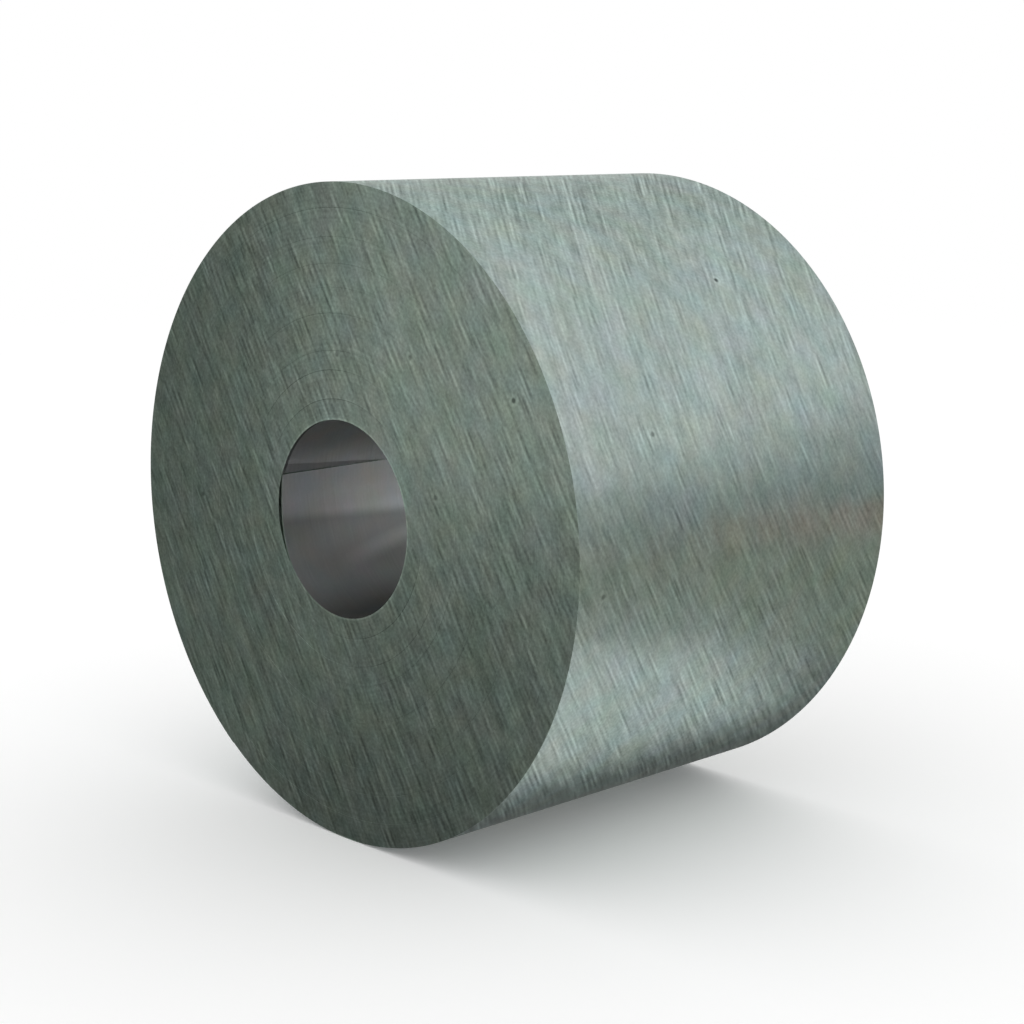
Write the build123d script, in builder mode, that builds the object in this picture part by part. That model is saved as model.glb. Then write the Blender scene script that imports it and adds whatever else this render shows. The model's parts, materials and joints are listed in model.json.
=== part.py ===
from build123d import *
import math
import os

# Coil of zinc sheet: one long strip wound on itself, lying on its round side.
# Millimetres, +Z up. The winding axis lies along Y and the front end faces -Y.
# The origin is on the floor, under the middle of the coil.

# Driving dimensions
outer_diameter = 1000.0
bore_diameter = 300.0
strip_width = 670.0
strip_thickness = 1.0

# The outer end of the strip, and how far it lies back from the line where the coil meets the floor
outer_end_to_floor = 35.0

# The inner end of the strip, seen from the front: 0 points along +X and 90 points up
inner_end_angle = 160.0
inner_end_free_arc = 65.0
inner_end_gap = 3.0
inner_end_tip_gap = 0.8
lead_in_arc = 6.0

# Slack turns, counted from the bore: each shows as a ring on both ends
slack_turns = (31, 74, 103, 158, 196, 231, 270, 312)
ring_depth = 0.6

# Sizes that follow from them
outer_radius = outer_diameter / 2
bore_radius = bore_diameter / 2
outer_end_angle = 270 - outer_end_to_floor
half_width = strip_width / 2
cut_margin = strip_thickness

# The last turn is drawn as two half turns, which together climb by one thickness
first_half_radius = outer_radius - 0.75 * strip_thickness
second_half_radius = outer_radius - 0.25 * strip_thickness
centre_shift = strip_thickness / 4
axis_height = first_half_radius + centre_shift * math.sin(math.radians(outer_end_angle))

front_end = Plane(origin=(0, -half_width, axis_height), x_dir=(1, 0, 0), z_dir=(0, -1, 0))
turning_plane = Plane(origin=(0, 0, axis_height), x_dir=(0, 1, 0), z_dir=(1, 0, 0))
winding_axis = Axis((0, 0, axis_height), (0, 1, 0))


def polar(radius, angle):
    """A point on the end of the coil, measured from the winding axis."""
    return (radius * math.cos(math.radians(angle)), radius * math.sin(math.radians(angle)))


def ring_radii():
    """Radius of each slack turn that lies inside the coil."""
    radii = [bore_radius + turn * strip_thickness for turn in slack_turns]
    return [radius for radius in radii if radius + 2 * ring_depth < outer_radius - strip_thickness]


with BuildPart() as coil:
    # The wound strip with its bore; the step in the outline is the outer end of the strip
    with BuildSketch(front_end):
        with BuildLine():
            first_half = CenterArc(polar(-centre_shift, outer_end_angle), first_half_radius,
                                   outer_end_angle, 180)
            second_half = CenterArc(polar(centre_shift, outer_end_angle), second_half_radius,
                                    outer_end_angle + 180, 180)
            Line(second_half @ 1, first_half @ 0)
        make_face()
        Circle(bore_radius, mode=Mode.SUBTRACT)
    extrude(amount=-strip_width)

    # The inner end of the strip: the next turn climbs over it and stands off behind it
    with BuildSketch(front_end):
        with BuildLine():
            strip_back = bore_radius + strip_thickness
            mouth = polar(strip_back + inner_end_tip_gap, inner_end_angle)
            belly = polar(strip_back + inner_end_gap, inner_end_angle + inner_end_free_arc / 2)
            root = polar(strip_back + inner_end_tip_gap, inner_end_angle + inner_end_free_arc)
            Line(polar(bore_radius - cut_margin, inner_end_angle - lead_in_arc), mouth)
            ThreePointArc(mouth, belly, root)
            Line(root, polar(strip_back, inner_end_angle + inner_end_free_arc))
            CenterArc((0, 0), strip_back, inner_end_angle + inner_end_free_arc, -inner_end_free_arc)
            Line(polar(strip_back, inner_end_angle), polar(bore_radius - cut_margin, inner_end_angle))
            Line(polar(bore_radius - cut_margin, inner_end_angle),
                 polar(bore_radius - cut_margin, inner_end_angle - lead_in_arc))
        make_face()
    extrude(amount=-strip_width, mode=Mode.SUBTRACT)

    # Rings on both ends where the turns lie slack
    with BuildSketch(turning_plane):
        for end in (-half_width, half_width):
            with Locations(*[(end, radius) for radius in ring_radii()]):
                Rectangle(ring_depth * math.sqrt(2), ring_depth * math.sqrt(2), rotation=45)
    revolve(axis=winding_axis, mode=Mode.SUBTRACT)

coil.part.label = "zinc_coil"

os.makedirs("parts", exist_ok=True)
export_step(coil.part, "parts/zinc_coil.step")
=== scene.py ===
import json
import math
import random

import bmesh
import bpy
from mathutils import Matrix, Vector


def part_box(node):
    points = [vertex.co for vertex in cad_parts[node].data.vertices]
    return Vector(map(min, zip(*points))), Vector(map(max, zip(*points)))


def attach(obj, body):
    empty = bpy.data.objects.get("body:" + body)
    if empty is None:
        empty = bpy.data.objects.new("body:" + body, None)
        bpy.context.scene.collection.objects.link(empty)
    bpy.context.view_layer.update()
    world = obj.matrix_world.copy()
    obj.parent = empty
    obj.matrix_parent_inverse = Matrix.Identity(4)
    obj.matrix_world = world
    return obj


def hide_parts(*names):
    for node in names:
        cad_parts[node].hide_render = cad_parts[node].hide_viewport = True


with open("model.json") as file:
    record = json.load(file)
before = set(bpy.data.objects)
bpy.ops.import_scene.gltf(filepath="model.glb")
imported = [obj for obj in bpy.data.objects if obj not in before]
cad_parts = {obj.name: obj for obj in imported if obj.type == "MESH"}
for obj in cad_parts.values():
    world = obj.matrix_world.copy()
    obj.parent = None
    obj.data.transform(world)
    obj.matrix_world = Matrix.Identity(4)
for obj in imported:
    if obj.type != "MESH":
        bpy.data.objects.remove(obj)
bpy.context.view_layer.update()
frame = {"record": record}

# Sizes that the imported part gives, in metres
node_low, node_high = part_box("zinc_coil")
bore_mount = next(m for m in frame["record"]["mounts"] if m["name"] == "bore")
AXIS_HEIGHT = bore_mount["pos_m"][2]
BORE_RADIUS = bore_mount["dims"]["r_mm"] / 1000
FRONT = node_low.y
BACK = node_high.y

# The strip: one thickness, and the places of its two ends.
# Angles are in degrees on the front end, where 0 points along +X and 90 points up.
STRIP = 0.001
OUTER_RADIUS = 0.5
OUTER_END = 235.0
INNER_END = 160.0
INNER_FREE_ARC = 65.0
FREE_END_BEND = 1.7
INNER_SPRING = 0.0060
INNER_TIP_SPRING = 0.0010
INNER_GAP = 0.0014
INNER_TIP_GAP = 0.0003
INNER_LIFT_INSIDE = 0.12
LEAD_IN_ARC = 7.0
LEAD_IN_ARC_INSIDE = 0.3
LEAD_IN_DEPTH = 0.21
LEAD_IN_SLANT_ARC = 24.0

# The ends of the coil: rings where turns lie slack, and how far each group of turns between them sits back.
# A group that sits back at the front end stands out as much at the back end.
SLACK_TURNS = (31, 74, 103, 158, 196, 231, 270, 312)
RING_HALF_WIDTH = 0.0005
RING_DEPTH = 0.00035
GROUP_SETBACK = (0.00000, 0.00012, 0.00004, 0.00016, 0.00006, 0.00018, 0.00008, 0.00014, 0.00002)
GROUP_SETBACK_RANGE = 0.00018
TURN_SETBACK = 0.00003
TURN_SETBACK_SEED = 5
TURN_LINE_STEP = 0.006
FIRST_RING_LINE = 0.156
LAST_RING_LINE = 0.497

# The mesh: columns round the coil, stations along it, the bevelled rim and the slow waves of the sheet.
# Each wave has its count round the coil, its turn along it and its start, the last two in radians.
COLUMNS = 360
CORNER_COLUMN_SPACE = 0.3
STATIONS = 16
RIM = 0.0004
SHEET_WAVE = 0.00025
SHEET_WAVES = ((4, 3.1, 0.7), (7, -4.3, 2.1))
MERGE_DISTANCE = 1e-7
SMOOTH_BELOW = math.radians(6)

# The brushing on the ends and in the bore lies in flat layers: directions across and along its strokes
END_GRAIN = ((0.548, 0.768, 0.331), (-0.350, -0.148, 0.924))
BORE_GRAIN = ((0.220, 0.970, 0.100), (0.022, 0.098, -0.995))

# The brushing on the outer sheet: one direction across its strokes, for its shine and the strokes' width.
# The strokes' slant, in metres along Y for each metre round the coil, has parts by the sine and the cosine
# of the angle, by those of twice the angle, and a steady part. It grows towards the back. It changes over
# one arc, in degrees, and keeps its last value beyond. The strokes are shortest at one angle of the arc.
SHEET_GRAIN = ((0.684, 0.647, 0.338),)
SHEET_SLANT = (0.777, -0.247, 0.123, -0.232, -0.109)
SHEET_SLANT_GROWTH = 0.42
SHEET_SLANT_ARC = (-60, 86)
SHORTEST_STROKES_AT = 14

# Strokes of three kinds, each with a width, a length and a strength. The shift is the range, in lengths,
# over which their rows are moved at random. Single strokes also change the roughness, and single and paired
# ones raise a relief, whose height is in metres.
PAIRED_STROKE = (0.0074, 0.058, 0.235)
SINGLE_STROKE = (0.0042, 0.027, 0.165)
BROAD_STROKE = (0.0125, 0.160, 0.105)
STROKE_SHIFT = 97.0
STROKE_ROUGHNESS = 0.14
RELIEF = 0.00010
ANISOTROPY = 0.5

# Speckle, mottle and patches of another tint, each with a size and a strength
SPECKLE = 0.0046
SPECKLE_STRENGTH = 0.23
MOTTLE = 0.030
MOTTLE_STRENGTH = 0.12
RED_PATCH = 0.055
RED_PATCH_STRENGTH = 0.28
BLUE_PATCH = 0.065
BLUE_PATCH_STRENGTH = 0.26
BLUE_PATCH_OFFSET = (5.0, 3.0, 1.0)
GRAIN_DETAIL = 1.0
PATCH_DETAIL = 2.0

# Bare zinc, in linear light: the rolled sheet, the sheared edges of the turns, and the bore.
# Each has a colour, the contrast of its brushing, its roughness and how much of it is bare metal.
SHEET_FINISH = ((0.356, 0.426, 0.402), 1.0, 0.36, 1.0)
EDGE_FINISH = ((0.203, 0.250, 0.215), 1.3, 0.40, 1.0)
BORE_FINISH = ((0.935, 0.950, 0.950), 0.18, 0.30, 0.92)
GRAZING_TINT = (0.60, 0.64, 0.615)

# The bore: painted shade on its lower half, more painted shade at its bottom, which is also rougher, painted
# shade near its mouths, a painted reflection in a streak deep in it, and painted shade on its upper rims.
# Heights are from the axis, and a tilt is the fall for each metre towards the back. A pair has the places
# where a change starts and is full.
LOWER_SHADE_BELOW = (0.014, -0.030)
LOWER_SHADE = 0.40
SHADED_ROUGH_BELOW = (-0.0281, -0.0481)
SHADED_ROUGH_TILT = 0.060
BOTTOM_SHADE = 0.40
DULL_ROUGHNESS = 0.08
MOUTH_SHADE_DEPTH = 0.16
MOUTH_SHADE = 0.28
MOUTH_SHADE_ABOVE = (-0.090, -0.040)
REFLECTED_STREAK = -0.0527
REFLECTED_STREAK_TILT = -0.19
REFLECTED_STREAK_WIDTH = 0.018
REFLECTED_STREAK_DEPTH = (0.06, 0.18)
REFLECTED_STREAK_STRENGTH = 0.35
MOUTH_RIM_SHADE = (0.0065, 0.0040)
MOUTH_RIM_SHADE_ABOVE = (0.048, 0.062)
MOUTH_RIM_SHADE_STRENGTH = 0.6

# The ends: fine lines of the turns, a painted highlight on the edge of the innermost ones, and a line of
# painted shade and highlight at the first slack turn
TURN_LINES = 0.0045
TURN_LINES_STRENGTH = 0.30
TURN_LINES_RELIEF = 1.0
RIM_HIGHLIGHT = (0.1540, 0.1512)
RIM_HIGHLIGHT_STRENGTH = 0.40
# The line at the first slack turn is painted shade on its inner side and a painted highlight on its outer
# side, as on the edge of a step
RING_LINE = 0.0016
RING_LINE_SHADE = 0.16
RING_LINE_HIGHLIGHT = 0.10

# Small pits in the metal: angle and radius on the ends or angle and place along Y on the outer sheet,
# and how dark each is
FRONT_PITS = ((30, 0.430, 0.80), (181, 0.352, 0.50), (91, 0.248, 0.45), (58, 0.302, 0.50), (16, 0.221, 0.42))
BACK_PITS = ((120, 0.260, 0.50), (20, 0.390, 0.70), (250, 0.330, 0.45))
SHEET_PITS = ((45, 0.100, 0.80), (19, -0.166, 0.55), (-5, -0.287, 0.50), (130, 0.120, 0.50),
              (170, -0.200, 0.70), (205, 0.050, 0.45))
PIT_RADIUS = 0.0058
PIT_CORE_RADIUS = 0.3 * PIT_RADIUS
PIT_RING_RADII = (2.0 * PIT_RADIUS, 1.2 * PIT_RADIUS)
PIT_RING = 0.20

# The camera stands where the photograph was taken from
CAMERA_PLACE = (2.385, -2.266, 1.087)
CAMERA_FORWARD = (-0.7096, 0.6798, -0.1852)
CAMERA_LENS = 73.27
CAMERA_SENSOR = 36.0

# The studio
FLOOR_REACH = 9.0
FLOOR_FADE_START = 2.5
FLOOR_COLOUR = (0.98, 0.98, 0.98, 1)
FLOOR_LIFT = 0.07
WHITE = (1.0, 1.0, 1.0)

# Cards that only reflections show. The upright ones stand along the camera's line of sight: three on the
# right of the coil, one before the other, and one on its left. Spans are measured along CARD_ALONG, and a
# fade has the places where a card starts to get lighter and is lightest.
CARD_ACROSS = (0.655, 0.756, 0.0)
CARD_ALONG = (0.756, -0.655, 0.0)
CARD_DISTANCE = 0.76
BACK_CARD_HALF_LENGTH = 1.2
BACK_CARD_HEIGHT = 0.9
BACK_CARD_COLOUR = (0.380, 0.405, 0.405)
BACK_CARD_FADE = (0.46, 0.86)
OLIVE_CARD_GAP = 0.004
OLIVE_CARD_HEIGHT = 0.47
OLIVE_CARD_COLOURS = ((0.392, 0.400, 0.345), (0.385, 0.402, 0.39))
OLIVE_CARD_FADE = (0.38, 0.50)
BROWN_CARD_GAP = 0.008
BROWN_CARD_FOOT = 0.41
BROWN_CARD_DROP = 0.025
BROWN_CARD_SPAN = (-0.3, 0.48)
BROWN_CARD_HEIGHT = 0.09
BROWN_CARD_COLOUR = (0.49, 0.39, 0.34)
FRONT_CARD_SPAN = (-1.6, 1.0)
FRONT_CARD_HEIGHT = 1.8
FRONT_CARD_COLOUR = (0.37, 0.38, 0.37)
FRONT_CARD_FADE_ALONG = (0.06, 0.24)
FRONT_CARD_FADE_UP = (0.32, 0.52)

# Cards that lie just over the floor, one before the front end and one on each side of the coil. The side
# ones are dark near the coil, a painted shadow of the floor that only reflections show.
MAT_HEIGHT = 0.002
FRONT_MAT_CORNERS = ((-0.6, -0.345), (0.9, -0.345), (0.9, -1.78), (-0.6, -0.48))
FRONT_MAT_COLOUR = (0.26, 0.26, 0.26)
SIDE_MAT_CORNERS = ((0.0, -0.7), (1.0, -0.7), (1.0, 0.14), (0.0, 0.98))
SIDE_MAT_COLOURS = ((0.21, 0.21, 0.21), (0.94, 0.94, 0.94))
SIDE_MAT_FADE_OUT = (0.25, 0.41)
SIDE_MAT_FADE_FRONT = (-0.62, -0.28)


def add_object(name, data):
    thing = bpy.data.objects.new(name, data)
    bpy.context.scene.collection.objects.link(thing)
    return thing


# The wound strip

def last_turn_radius(turn):
    """Outer radius along the last turn, which climbs by one thickness in two smooth halves.

    Turn runs from 0 at its start to 1 at the end of the strip.
    """
    climb = STRIP / 4 * math.cos(2 * math.pi * turn)
    if turn <= 0.5:
        return OUTER_RADIUS - 0.75 * STRIP - climb
    return OUTER_RADIUS - 0.25 * STRIP + climb


def past_inner_end(angle):
    """Degrees from the inner end of the strip to this angle, from -180 to 180."""
    return (angle - INNER_END + 180) % 360 - 180


def free_end_bow(past):
    """How far the free inner end bows, from 0 at both of its ends to 1 nearer to its tip."""
    return math.sin(math.pi * (1 - (1 - past / INNER_FREE_ARC) ** FREE_END_BEND))


def standing_off_radius(angle, lift):
    """Radius of the second turn where it climbs over the inner end and stands off behind it."""
    past = past_inner_end(angle)
    mouth = BORE_RADIUS + STRIP + lift * INNER_TIP_GAP
    if -LEAD_IN_ARC <= past <= 0:
        return mouth + (mouth - BORE_RADIUS) * past / LEAD_IN_ARC
    if 0 < past < INNER_FREE_ARC:
        return mouth + lift * (INNER_GAP - INNER_TIP_GAP) * free_end_bow(past)
    return mouth


def slanted(angle):
    """Angle of a column of the inner turn deep in the bore, where the lead-in is narrower."""
    past = past_inner_end(angle)
    if -LEAD_IN_ARC <= past <= 0:
        return angle - past + past * LEAD_IN_ARC_INSIDE / LEAD_IN_ARC
    if -LEAD_IN_SLANT_ARC < past < -LEAD_IN_ARC:
        share = (past + LEAD_IN_SLANT_ARC) / (LEAD_IN_SLANT_ARC - LEAD_IN_ARC)
        return angle + share * (LEAD_IN_ARC - LEAD_IN_ARC_INSIDE)
    return angle


def bore_radius(angle, lift):
    """Radius of the innermost turn, whose free end springs into the bore."""
    past = past_inner_end(angle)
    if 0 <= past < INNER_FREE_ARC:
        spring = INNER_TIP_SPRING * (1 - past / INNER_FREE_ARC) + INNER_SPRING * free_end_bow(past)
        return BORE_RADIUS - lift * spring
    return BORE_RADIUS


def back_of_strip_radius(angle, lift):
    """Radius of the back of the innermost turn, which ends where the lead-in starts."""
    if past_inner_end(angle) == -LEAD_IN_ARC:
        return BORE_RADIUS
    return bore_radius(angle, lift) + STRIP


def ring_lines():
    """Radius, front setback and back setback of each line of the ends that is a full circle."""
    chance = random.Random(TURN_SETBACK_SEED)
    rings = [BORE_RADIUS + turn * STRIP for turn in SLACK_TURNS]
    borders = [FIRST_RING_LINE] + rings + [LAST_RING_LINE]
    lines = []
    for group, setback in enumerate(GROUP_SETBACK):
        low, high = borders[group], borders[group + 1]
        if group > 0:
            lines.append((low, RING_DEPTH, RING_DEPTH))
            low += RING_HALF_WIDTH
        if group < len(rings):
            high -= RING_HALF_WIDTH
        steps = max(2, round((high - low) / TURN_LINE_STEP))
        for step in range(steps + 1):
            uneven = TURN_SETBACK * chance.random()
            lines.append((low + (high - low) * step / steps, setback + uneven,
                          GROUP_SETBACK_RANGE - setback + uneven))
    return lines


def column_turns():
    """Places round the last turn, from 0 to 1, with a column at each corner of the inner end."""
    corners = (INNER_END - LEAD_IN_ARC, INNER_END, INNER_END + INNER_FREE_ARC)
    turns = {(corner - OUTER_END) % 360 / 360 for corner in corners}
    for column in range(COLUMNS + 1):
        even = column / COLUMNS
        if all(abs(even - turn) > CORNER_COLUMN_SPACE / COLUMNS for turn in turns):
            turns.add(even)
    return sorted(turns)


def sheet_wave(angle, along):
    """How far the outer sheet lies in from its true radius, up to SHEET_WAVE.

    Along runs from 0 at the front to 1 at the back.
    """
    a = math.radians(angle)
    waves = sum(math.sin(count * a + turn * along + start) for count, turn, start in SHEET_WAVES)
    return SHEET_WAVE * (0.5 + 0.25 * waves)


class CoilMesh:
    """Collects the corners and faces of the coil; a corner is given by radius, angle and y."""

    SHEET, END, BORE = range(3)

    def __init__(self):
        self.corners = []
        self.faces = []
        self.finishes = []

    def corner(self, radius, angle, y):
        a = math.radians(angle)
        self.corners.append((radius * math.cos(a), y, AXIS_HEIGHT + radius * math.sin(a)))
        return len(self.corners) - 1

    def face(self, finish, *corners):
        self.faces.append(corners)
        self.finishes.append(finish)


def wound_strip():
    """One closed mesh of the coil, with its step at the outer end and its free inner end."""
    mesh = CoilMesh()
    turns = column_turns()
    angles = [OUTER_END + 360 * turn for turn in turns]
    last = len(turns) - 1
    inner_lines = (bore_radius, back_of_strip_radius, standing_off_radius)
    rings = ring_lines()
    rim_line = len(inner_lines) + len(rings)
    edge_line = rim_line + 1

    # Corners of both ends, line by line: the last column is the first one again, but for the stepped edge
    front, inside, back = [], [], []
    for line in range(edge_line + 1):
        front_row, inside_row, back_row = [], [], []
        for column, angle in enumerate(angles):
            if column == last and line < rim_line:
                front_row.append(front_row[0])
                back_row.append(back_row[0])
                if inside_row:
                    inside_row.append(inside_row[0])
                continue
            edge = last_turn_radius(turns[column])
            if line < len(inner_lines):
                radius = inner_lines[line]
                inner_angle = slanted(angle)
                tight = radius(angle, INNER_LIFT_INSIDE)
                front_row.append(mesh.corner(radius(angle, 1.0), angle, FRONT))
                inside_row.append(mesh.corner(tight, inner_angle, FRONT + LEAD_IN_DEPTH))
                back_row.append(mesh.corner(tight, inner_angle, BACK))
            elif line < rim_line:
                radius, front_setback, back_setback = rings[line - len(inner_lines)]
                front_row.append(mesh.corner(radius, angle, FRONT + front_setback))
                back_row.append(mesh.corner(radius, angle, BACK - back_setback))
            elif line == rim_line:
                front_row.append(mesh.corner(edge - RIM, angle, FRONT))
                back_row.append(mesh.corner(edge - RIM, angle, BACK))
            else:
                front_row.append(mesh.corner(edge - sheet_wave(angle, 0), angle, FRONT + RIM))
                back_row.append(mesh.corner(edge - sheet_wave(angle, 1), angle, BACK - RIM))
        front.append(front_row)
        inside.append(inside_row)
        back.append(back_row)

    def past(column):
        """Degrees from the inner end of the strip to the middle of this column."""
        column %= last
        return past_inner_end((angles[column] + angles[column + 1]) / 2)

    def solid(line, column):
        """Whether there is metal between this line and the next, and this column and the next."""
        in_lead_in = -LEAD_IN_ARC < past(column) < 0 and line <= 1
        in_gap = 0 < past(column) < INNER_FREE_ARC and line == 1
        return line >= 0 and not in_lead_in and not in_gap

    # Both ends, and the walls that run the length of the coil inside it
    for column in range(last):
        after = column + 1
        for line in range(edge_line):
            if solid(line, column):
                for rows in (front, back):
                    corners = [rows[line][column], rows[line][after]]
                    if after == last and line == rim_line - 1:
                        corners.append(rows[rim_line][0])
                    corners += [rows[line + 1][after], rows[line + 1][column]]
                    mesh.face(mesh.END, *corners)
            behind_free_end = line > 0 and 0 < past(column) < INNER_FREE_ARC
            wall = mesh.END if behind_free_end else mesh.BORE
            for near, far in ((front, inside), (inside, back)):
                if solid(line, column) != solid(line - 1, column):
                    mesh.face(wall, near[line][column], near[line][after],
                              far[line][after], far[line][column])
                if solid(line, column) != solid(line, column - 1):
                    mesh.face(mesh.END, near[line][column], near[line + 1][column],
                              far[line + 1][column], far[line][column])

    # The outer sheet, station by station, and the step at the end of the strip
    sheet = []
    for column, angle in enumerate(angles):
        row = [front[edge_line][column]]
        edge = last_turn_radius(turns[column])
        for station in range(1, STATIONS):
            along = station / STATIONS
            y = FRONT + RIM + (BACK - FRONT - 2 * RIM) * along
            row.append(mesh.corner(edge - sheet_wave(angle, along), angle, y))
        row.append(back[edge_line][column])
        sheet.append(row)
    for column in range(last):
        for station in range(STATIONS):
            mesh.face(mesh.SHEET, sheet[column][station], sheet[column + 1][station],
                      sheet[column + 1][station + 1], sheet[column][station + 1])
    for station in range(STATIONS):
        mesh.face(mesh.END, sheet[last][station], sheet[last][station + 1],
                  sheet[0][station + 1], sheet[0][station])
    for rows in (front, back):
        mesh.face(mesh.END, rows[rim_line][0], rows[rim_line][last],
                  rows[edge_line][last], rows[edge_line][0])
    return mesh


def make_coil(materials):
    """Turns the collected mesh into the piece that stands for the CAD coil."""
    built = wound_strip()
    data = bpy.data.meshes.new("wound_zinc_strip")
    data.from_pydata(built.corners, [], built.faces)
    for material in materials:
        data.materials.append(material)
    data.polygons.foreach_set("material_index", built.finishes)
    shape = bmesh.new()
    shape.from_mesh(data)
    bmesh.ops.remove_doubles(shape, verts=shape.verts, dist=MERGE_DISTANCE)
    bmesh.ops.dissolve_degenerate(shape, edges=shape.edges, dist=MERGE_DISTANCE)
    bmesh.ops.recalc_face_normals(shape, faces=shape.faces)
    shape.to_mesh(data)
    shape.free()
    data.polygons.foreach_set("use_smooth", [True] * len(data.polygons))
    data.set_sharp_from_angle(angle=SMOOTH_BELOW)
    return add_object("wound_zinc_strip", data)


# Materials

class Shader:
    """Short forms for building one material's nodes."""

    def __init__(self, name):
        self.material = bpy.data.materials.new(name)
        self.material.use_nodes = True
        self.tree = self.material.node_tree
        self.principled = self.tree.nodes["Principled BSDF"]
        self.position = self.tree.nodes.new("ShaderNodeTexCoord").outputs["Object"]

    def put(self, value, socket):
        """Links a socket to another one, or gives it a constant."""
        if isinstance(value, bpy.types.NodeSocket):
            self.tree.links.new(value, socket)
        else:
            socket.default_value = value

    def math(self, operation, *values):
        node = self.tree.nodes.new("ShaderNodeMath")
        node.operation = operation
        for value, socket in zip(values, node.inputs):
            self.put(value, socket)
        return node.outputs[0]

    def vector(self, operation, *values):
        node = self.tree.nodes.new("ShaderNodeVectorMath")
        node.operation = operation
        for value, socket in zip(values, node.inputs):
            self.put(value, socket)
        return node.outputs["Value" if operation in ("DOT_PRODUCT", "DISTANCE") else "Vector"]

    def combine(self, x, y, z):
        node = self.tree.nodes.new("ShaderNodeCombineXYZ")
        for value, socket in zip((x, y, z), node.inputs):
            self.put(value, socket)
        return node.outputs[0]

    def mix(self, share, a, b):
        node = self.tree.nodes.new("ShaderNodeMix")
        node.data_type = "RGBA"
        self.put(share, node.inputs["Factor"])
        self.put((*a, 1), node.inputs["A"])
        self.put((*b, 1), node.inputs["B"])
        return node.outputs["Result"]

    def fade(self, value, start, end):
        """Goes smoothly from 0 at start to 1 at end."""
        node = self.tree.nodes.new("ShaderNodeMapRange")
        node.interpolation_type = "SMOOTHSTEP"
        self.put(value, node.inputs["Value"])
        node.inputs["From Min"].default_value = start
        node.inputs["From Max"].default_value = end
        return node.outputs["Result"]

    def sum(self, start, *parts):
        """A constant or a socket, plus any number of weighted sockets."""
        total = start
        for socket, weight in parts:
            total = self.math("MULTIPLY_ADD", socket, weight, total)
        return total

    def noise(self, where, size, detail):
        """Noise about 0 whose marks are about this size, in metres."""
        node = self.tree.nodes.new("ShaderNodeTexNoise")
        self.put(where, node.inputs["Vector"])
        node.inputs["Scale"].default_value = 1 / size
        node.inputs["Detail"].default_value = detail
        return self.math("SUBTRACT", node.outputs["Fac"], 0.5)

    def along(self, direction):
        """How far a point lies along a direction."""
        return self.vector("DOT_PRODUCT", self.position, direction)

    def chance(self, x, y):
        """An even random number from -0.5 to 0.5 for each pair of whole numbers."""
        node = self.tree.nodes.new("ShaderNodeTexWhiteNoise")
        node.noise_dimensions = "2D"
        self.put(self.combine(x, y, 0.0), node.inputs["Vector"])
        return self.math("SUBTRACT", node.outputs["Value"], 0.5)

    def strokes(self, places, width, length, paired=False):
        """Straight strokes in rows of this width, each of its own tone.

        Paired ones are half light and half dark, a painted highlight and shade of a raised stroke, and few
        of them are strong.
        """
        across, lengthwise = places
        rows = self.math("DIVIDE", across, width)
        row = self.math("FLOOR", rows)
        stroke = self.math("MULTIPLY_ADD", self.chance(row, 0.5), STROKE_SHIFT,
                           self.math("DIVIDE", lengthwise, length))
        tone = self.chance(row, self.math("FLOOR", stroke))
        if paired:
            strong = self.math("MULTIPLY", self.math("ABSOLUTE", tone), 2.0)
            tone = self.math("MULTIPLY", tone, strong)
            # The light and dark halves of a paired stroke are a painted highlight and shade of its ridge;
            # its tone is the brushing's own
            profile = self.math("SINE", self.math("MULTIPLY", rows, 2 * math.pi))
        else:
            profile = self.bump(rows)
        ends = self.math("SQRT", self.bump(stroke))
        return self.math("MULTIPLY", tone, self.math("MULTIPLY", profile, ends))

    def bump(self, value):
        """Rises from 0 at each whole number to 1 half way to the next."""
        return self.math("ABSOLUTE", self.math("SINE", self.math("MULTIPLY", value, math.pi)))


def pit_places():
    """Centres of the pits on the outer sheet and on the ends."""
    def place(radius, angle, y):
        a = math.radians(angle)
        return (radius * math.cos(a), y, AXIS_HEIGHT + radius * math.sin(a))

    sheet = [(place(OUTER_RADIUS, angle, y), depth) for angle, y, depth in SHEET_PITS]
    ends = [(place(radius, angle, FRONT), depth) for angle, radius, depth in FRONT_PITS]
    ends += [(place(radius, angle, BACK), depth) for angle, radius, depth in BACK_PITS]
    return sheet, ends


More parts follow.
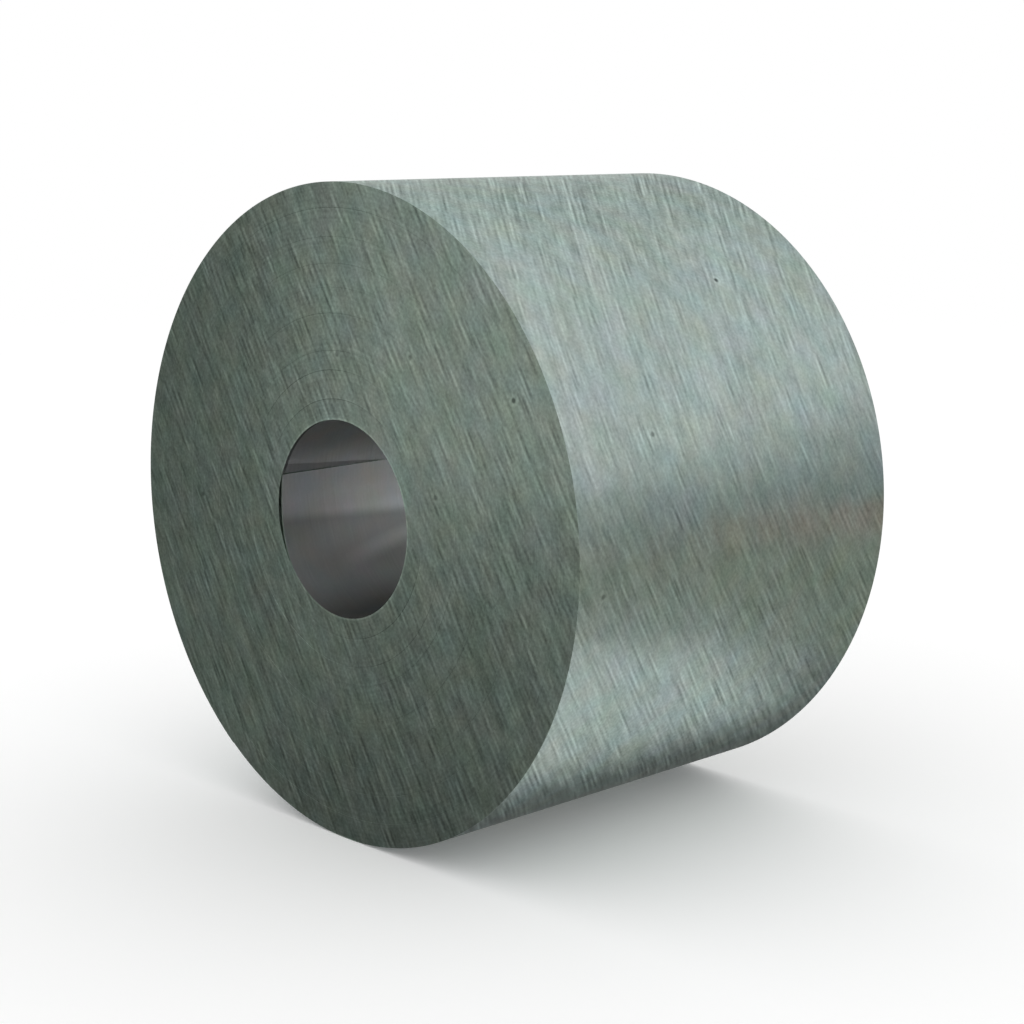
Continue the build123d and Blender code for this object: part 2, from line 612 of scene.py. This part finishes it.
class ZincShader(Shader):
    """Bare zinc with brush strokes that lie one way and patches of a faint other tint."""

    def __init__(self, name, grain, finish):
        super().__init__(name)
        self.grain = grain
        self.colour, contrast, roughness, self.metallic = finish
        places = self.places()
        single_strokes = self.strokes(places, *SINGLE_STROKE[:2])
        paired_strokes = self.strokes(places, *PAIRED_STROKE[:2], paired=True)
        broad_strokes = self.strokes(places, *BROAD_STROKE[:2])
        self.roughness = self.sum(roughness, (single_strokes, STROKE_ROUGHNESS * contrast))
        speckle = self.noise(self.position, SPECKLE, GRAIN_DETAIL)
        mottle = self.noise(self.position, MOTTLE, GRAIN_DETAIL)
        tone = self.sum(1.0, (paired_strokes, PAIRED_STROKE[2] * contrast),
                        (single_strokes, SINGLE_STROKE[2] * contrast),
                        (broad_strokes, BROAD_STROKE[2] * contrast),
                        (speckle, SPECKLE_STRENGTH * contrast),
                        (mottle, MOTTLE_STRENGTH * contrast))
        self.tone = self.math("MULTIPLY", tone, tone)
        self.relief = self.math("ADD", paired_strokes, single_strokes)
        self.relief_height = RELIEF * contrast

    def places(self):
        """Places across and along the strokes."""
        return tuple(self.along(direction) for direction in self.grain)

    def shade(self, *parts):
        """Makes the metal lighter or darker by masks with their weights."""
        self.tone = self.math("MULTIPLY", self.tone, self.sum(1.0, *parts))

    def roughen(self, mask, amount):
        """Makes the metal rougher where the mask is."""
        self.roughness = self.sum(self.roughness, (mask, amount))

    def pit(self, centre, depth):
        """A dark speck with a pale ring round it."""
        distance = self.vector("DISTANCE", self.position, centre)
        core = self.fade(distance, PIT_RADIUS, PIT_CORE_RADIUS)
        ring = self.fade(distance, *PIT_RING_RADII)
        self.shade((ring, PIT_RING * depth), (core, -depth))

    def finished(self):
        """Fills the shader's sockets and gives back the material."""
        principled = self.principled
        red = self.noise(self.position, RED_PATCH, PATCH_DETAIL)
        elsewhere = self.vector("ADD", self.position, BLUE_PATCH_OFFSET)
        blue = self.noise(elsewhere, BLUE_PATCH, PATCH_DETAIL)
        tint = self.combine(self.sum(1.0, (red, RED_PATCH_STRENGTH)), 1.0,
                            self.sum(1.0, (blue, BLUE_PATCH_STRENGTH)))
        tinted = self.vector("MULTIPLY", tint, self.colour)
        tone = self.combine(self.tone, self.tone, self.tone)
        self.put(self.vector("MULTIPLY", tinted, tone), principled.inputs["Base Color"])
        self.put(self.vector("MULTIPLY", GRAZING_TINT, tone), principled.inputs["Specular Tint"])
        self.put(self.roughness, principled.inputs["Roughness"])
        raised = self.tree.nodes.new("ShaderNodeBump")
        raised.inputs["Distance"].default_value = self.relief_height
        self.put(self.relief, raised.inputs["Height"])
        self.put(raised.outputs["Normal"], principled.inputs["Normal"])
        self.put(self.combine(*self.grain[0]), principled.inputs["Tangent"])
        principled.inputs["Metallic"].default_value = self.metallic
        principled.inputs["Anisotropic"].default_value = ANISOTROPY
        return self.material


class SheetShader(ZincShader):
    """Zinc of the outer sheet, whose strokes follow it round to the end of the strip."""

    def places(self):
        """Places across and along the strokes, which break only at the outer end of the strip."""
        by_sine, by_cosine, by_double_sine, by_double_cosine, steady = SHEET_SLANT

        def slant(angle):
            single = by_sine * math.sin(angle) + by_cosine * math.cos(angle)
            double = by_double_sine * math.sin(2 * angle) + by_double_cosine * math.cos(2 * angle)
            return single + double + steady

        cut = math.radians(OUTER_END - 180)
        out = self.vector("SUBTRACT", self.position, (0.0, 0.0, AXIS_HEIGHT))
        x = self.vector("DOT_PRODUCT", out, (math.cos(cut), 0.0, math.sin(cut)))
        z = self.vector("DOT_PRODUCT", out, (-math.sin(cut), 0.0, math.cos(cut)))
        angle = self.math("ADD", self.math("ARCTAN2", z, x), cut)
        first, last = (math.radians(degrees) for degrees in SHEET_SLANT_ARC)
        inside = self.math("MINIMUM", self.math("MAXIMUM", angle, first), last)
        before = self.math("MINIMUM", self.math("SUBTRACT", angle, first), 0.0)
        after = self.math("MAXIMUM", self.math("SUBTRACT", angle, last), 0.0)
        twice = self.math("MULTIPLY", inside, 2.0)
        drift = self.sum(0.0, (self.math("COSINE", inside), by_sine),
                         (self.math("SINE", inside), -by_cosine),
                         (self.math("COSINE", twice), by_double_sine / 2),
                         (self.math("SINE", twice), -by_double_cosine / 2),
                         (inside, -steady), (before, -slant(first)), (after, -slant(last)))
        y = self.along((0.0, 1.0, 0.0))
        y_drawn_in = self.math("MULTIPLY", y, self.sum(1.0, (y, -SHEET_SLANT_GROWTH / 2)))
        across = self.math("MULTIPLY", self.sum(y_drawn_in, (drift, OUTER_RADIUS)), self.grain[0][1])
        shortest = math.radians(SHORTEST_STROKES_AT)
        length = self.sum(self.math("SINE", self.math("SUBTRACT", inside, shortest)),
                          (before, 1.0), (after, 1.0))
        return across, self.math("MULTIPLY", length, OUTER_RADIUS)


def sheet_material(pits):
    """The outer sheet, brushed and pitted."""
    shader = SheetShader("zinc_sheet", SHEET_GRAIN, SHEET_FINISH)
    for centre, depth in pits:
        shader.pit(centre, depth)
    return shader.finished()


def edge_material(pits):
    """The ends, with fine lines of the turns, a painted highlight on the innermost ones, and a line of
    painted shade and highlight at the first slack turn.
    """
    shader = ZincShader("zinc_turn_edges", END_GRAIN, EDGE_FINISH)
    for centre, depth in pits:
        shader.pit(centre, depth)
    flat = shader.vector("MULTIPLY", shader.position, (1.0, 0.0, 1.0))
    radius = shader.vector("DISTANCE", flat, (0.0, 0.0, AXIS_HEIGHT))
    turns = shader.noise(shader.combine(radius, 0.0, 0.0), TURN_LINES, GRAIN_DETAIL)
    # Painted highlight on the edge of the innermost turns, next to the bore
    shader.shade((turns, TURN_LINES_STRENGTH), (shader.fade(radius, *RIM_HIGHLIGHT), RIM_HIGHLIGHT_STRENGTH))
    shader.relief = shader.sum(shader.relief, (turns, TURN_LINES_RELIEF))
    # A line of painted shade and a line of painted highlight along the first slack turn
    ring = BORE_RADIUS + SLACK_TURNS[0] * STRIP
    for place, strength in ((ring, -RING_LINE_SHADE), (ring + RING_LINE, RING_LINE_HIGHLIGHT)):
        off = shader.math("ABSOLUTE", shader.math("SUBTRACT", radius, place))
        shader.shade((shader.fade(off, RING_LINE, 0.0), strength))
    return shader.finished()


def bore_material():
    """The bore: painted shade below its middle, at its bottom, which is also rougher, near its mouths and on
    their upper rims, and a painted reflection in one streak.
    """
    shader = ZincShader("zinc_bore", BORE_GRAIN, BORE_FINISH)
    height = shader.along((0.0, 0.0, 1.0))
    # Painted shade on the lower half of the bore
    shaded_below = shader.fade(height, AXIS_HEIGHT + LOWER_SHADE_BELOW[0], AXIS_HEIGHT + LOWER_SHADE_BELOW[1])
    shader.shade((shaded_below, -LOWER_SHADE))
    # Painted shade across the bottom of the bore, its edge falling towards the back; the metal there is also
    # rougher
    tilted = shader.along((0.0, SHADED_ROUGH_TILT, 1.0))
    shaded_rough = shader.fade(tilted, AXIS_HEIGHT + SHADED_ROUGH_BELOW[0], AXIS_HEIGHT + SHADED_ROUGH_BELOW[1])
    shader.shade((shaded_rough, -BOTTOM_SHADE))
    shader.roughen(shaded_rough, DULL_ROUGHNESS)
    y = shader.along((0.0, 1.0, 0.0))
    from_middle = shader.math("ABSOLUTE", y)
    # Painted shade near both mouths, over all but the bottom of the bore
    near_mouth = shader.fade(from_middle, BACK - MOUTH_SHADE_DEPTH, BACK)
    above = shader.fade(height, AXIS_HEIGHT + MOUTH_SHADE_ABOVE[0], AXIS_HEIGHT + MOUTH_SHADE_ABOVE[1])
    shader.shade((shader.math("MULTIPLY", near_mouth, above), -MOUTH_SHADE))
    # A painted reflection: a paler streak deep in the bore
    streak = shader.along((0.0, REFLECTED_STREAK_TILT, 1.0))
    off_streak = shader.math("ABSOLUTE", shader.math("SUBTRACT", streak, AXIS_HEIGHT + REFLECTED_STREAK))
    deep = shader.fade(y, FRONT + REFLECTED_STREAK_DEPTH[0], FRONT + REFLECTED_STREAK_DEPTH[1])
    pale = shader.math("MULTIPLY", shader.fade(off_streak, REFLECTED_STREAK_WIDTH, 0.0), deep)
    shader.shade((pale, REFLECTED_STREAK_STRENGTH))
    # Painted shade along the upper rim of both mouths
    mouth = shader.fade(from_middle, BACK - MOUTH_RIM_SHADE[0], BACK - MOUTH_RIM_SHADE[1])
    upper = shader.fade(height, AXIS_HEIGHT + MOUTH_RIM_SHADE_ABOVE[0], AXIS_HEIGHT + MOUTH_RIM_SHADE_ABOVE[1])
    shader.shade((shader.math("MULTIPLY", mouth, upper), -MOUTH_RIM_SHADE_STRENGTH))
    return shader.finished()


# Studio

def make_floor():
    data = bpy.data.meshes.new("floor")
    corners = [(x * FLOOR_REACH, y * FLOOR_REACH, 0) for x, y in ((-1, -1), (1, -1), (1, 1), (-1, 1))]
    data.from_pydata(corners, [], [(0, 1, 2, 3)])
    shader = Shader("white_paper")
    shader.principled.inputs["Base Color"].default_value = FLOOR_COLOUR
    shader.principled.inputs["Roughness"].default_value = 1.0
    shader.principled.inputs["Specular IOR Level"].default_value = 0.0
    away = shader.vector("DISTANCE", shader.position, (0.0, 0.0, 0.0))
    shader.put(shader.fade(away, FLOOR_REACH, FLOOR_FADE_START), shader.principled.inputs["Alpha"])
    rays = shader.tree.nodes.new("ShaderNodeLightPath").outputs
    mirrored = shader.math("MAXIMUM", rays["Is Glossy Ray"], rays["Is Transmission Ray"])
    seen = shader.math("MAXIMUM", rays["Is Camera Ray"], mirrored)
    shader.principled.inputs["Emission Color"].default_value = (*WHITE, 1)
    shader.put(shader.math("MULTIPLY", seen, FLOOR_LIFT), shader.principled.inputs["Emission Strength"])
    data.materials.append(shader.material)
    add_object("floor", data)


def make_card(name, corners, dark, light=None, *fades):
    """A card that only reflections show.

    It glows evenly, or from dark to light: each fade is a direction and the two places along it
    where light starts and is full.
    """
    data = bpy.data.meshes.new(name)
    data.from_pydata(corners, [], [(0, 1, 2, 3)])
    shader = Shader(name)
    glow = shader.tree.nodes.new("ShaderNodeEmission")
    glow.inputs["Color"].default_value = (*dark, 1)
    share = None
    for direction, start, end in fades:
        part = shader.fade(shader.along(direction), start, end)
        share = part if share is None else shader.math("MULTIPLY", share, part)
    if share is not None:
        shader.put(shader.mix(share, dark, light), glow.inputs["Color"])
    shader.put(glow.outputs["Emission"], shader.tree.nodes["Material Output"].inputs["Surface"])
    data.materials.append(shader.material)
    card = add_object(name, data)
    card.visible_camera = False
    card.visible_diffuse = False
    card.visible_shadow = False
    card.visible_transmission = False


def upright(start, end, height):
    """Corners of a card that stands up from the line between start and end."""
    up = Vector((0, 0, height))
    return [start, end, end + up, start + up]


def make_cards():
    up = Vector((0, 0, 1))
    across = Vector(CARD_ACROSS)
    along = Vector(CARD_ALONG)
    near = CARD_DISTANCE * across
    half = BACK_CARD_HALF_LENGTH * along
    make_card("back_card", upright(near - half, near + half, BACK_CARD_HEIGHT),
              BACK_CARD_COLOUR, WHITE, (up, *BACK_CARD_FADE))
    olive = near - OLIVE_CARD_GAP * across
    make_card("olive_card", upright(olive - half, olive + half, OLIVE_CARD_HEIGHT),
              *OLIVE_CARD_COLOURS, (up, *OLIVE_CARD_FADE))
    brown = near - BROWN_CARD_GAP * across + BROWN_CARD_FOOT * up
    brown_start, brown_end = (brown + place * along for place in BROWN_CARD_SPAN)
    make_card("brown_card", upright(brown_start, brown_end - BROWN_CARD_DROP * up, BROWN_CARD_HEIGHT),
              BROWN_CARD_COLOUR)
    front_start, front_end = (place * along - near for place in FRONT_CARD_SPAN)
    make_card("front_card", upright(front_start, front_end, FRONT_CARD_HEIGHT),
              FRONT_CARD_COLOUR, WHITE, (along, *FRONT_CARD_FADE_ALONG), (up, *FRONT_CARD_FADE_UP))


def make_mats():
    make_card("front_mat", [(x, y, MAT_HEIGHT) for x, y in FRONT_MAT_CORNERS], FRONT_MAT_COLOUR)
    # Side mats: a painted shadow of the floor round the coil's foot, seen only in reflections
    for side in (1, -1):
        make_card(f"side_mat{side}", [(side * x, side * y, MAT_HEIGHT) for x, y in SIDE_MAT_CORNERS],
                  *SIDE_MAT_COLOURS, ((side, 0, 0), *SIDE_MAT_FADE_OUT),
                  ((0, -side, 0), *SIDE_MAT_FADE_FRONT))


def make_world():
    world = bpy.data.worlds.new("studio")
    bpy.context.scene.world = world
    world.use_nodes = True
    background = world.node_tree.nodes["Background"]
    background.inputs["Color"].default_value = (*WHITE, 1)
    background.inputs["Strength"].default_value = 1.0


def make_camera():
    data = bpy.data.cameras.new("camera")
    data.lens = CAMERA_LENS
    data.sensor_width = CAMERA_SENSOR
    camera = add_object("camera", data)
    camera.location = CAMERA_PLACE
    camera.rotation_mode = "QUATERNION"
    camera.rotation_quaternion = Vector(CAMERA_FORWARD).to_track_quat("-Z", "Y")
    bpy.context.scene.camera = camera


# The scene

sheet_pits, end_pits = pit_places()
coil = make_coil([
    sheet_material(sheet_pits),
    edge_material(end_pits),
    bore_material(),
])
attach(coil, "root")
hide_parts("zinc_coil")

make_floor()
make_cards()
make_mats()
make_world()
make_camera()
bpy.context.scene.view_settings.view_transform = "Standard"
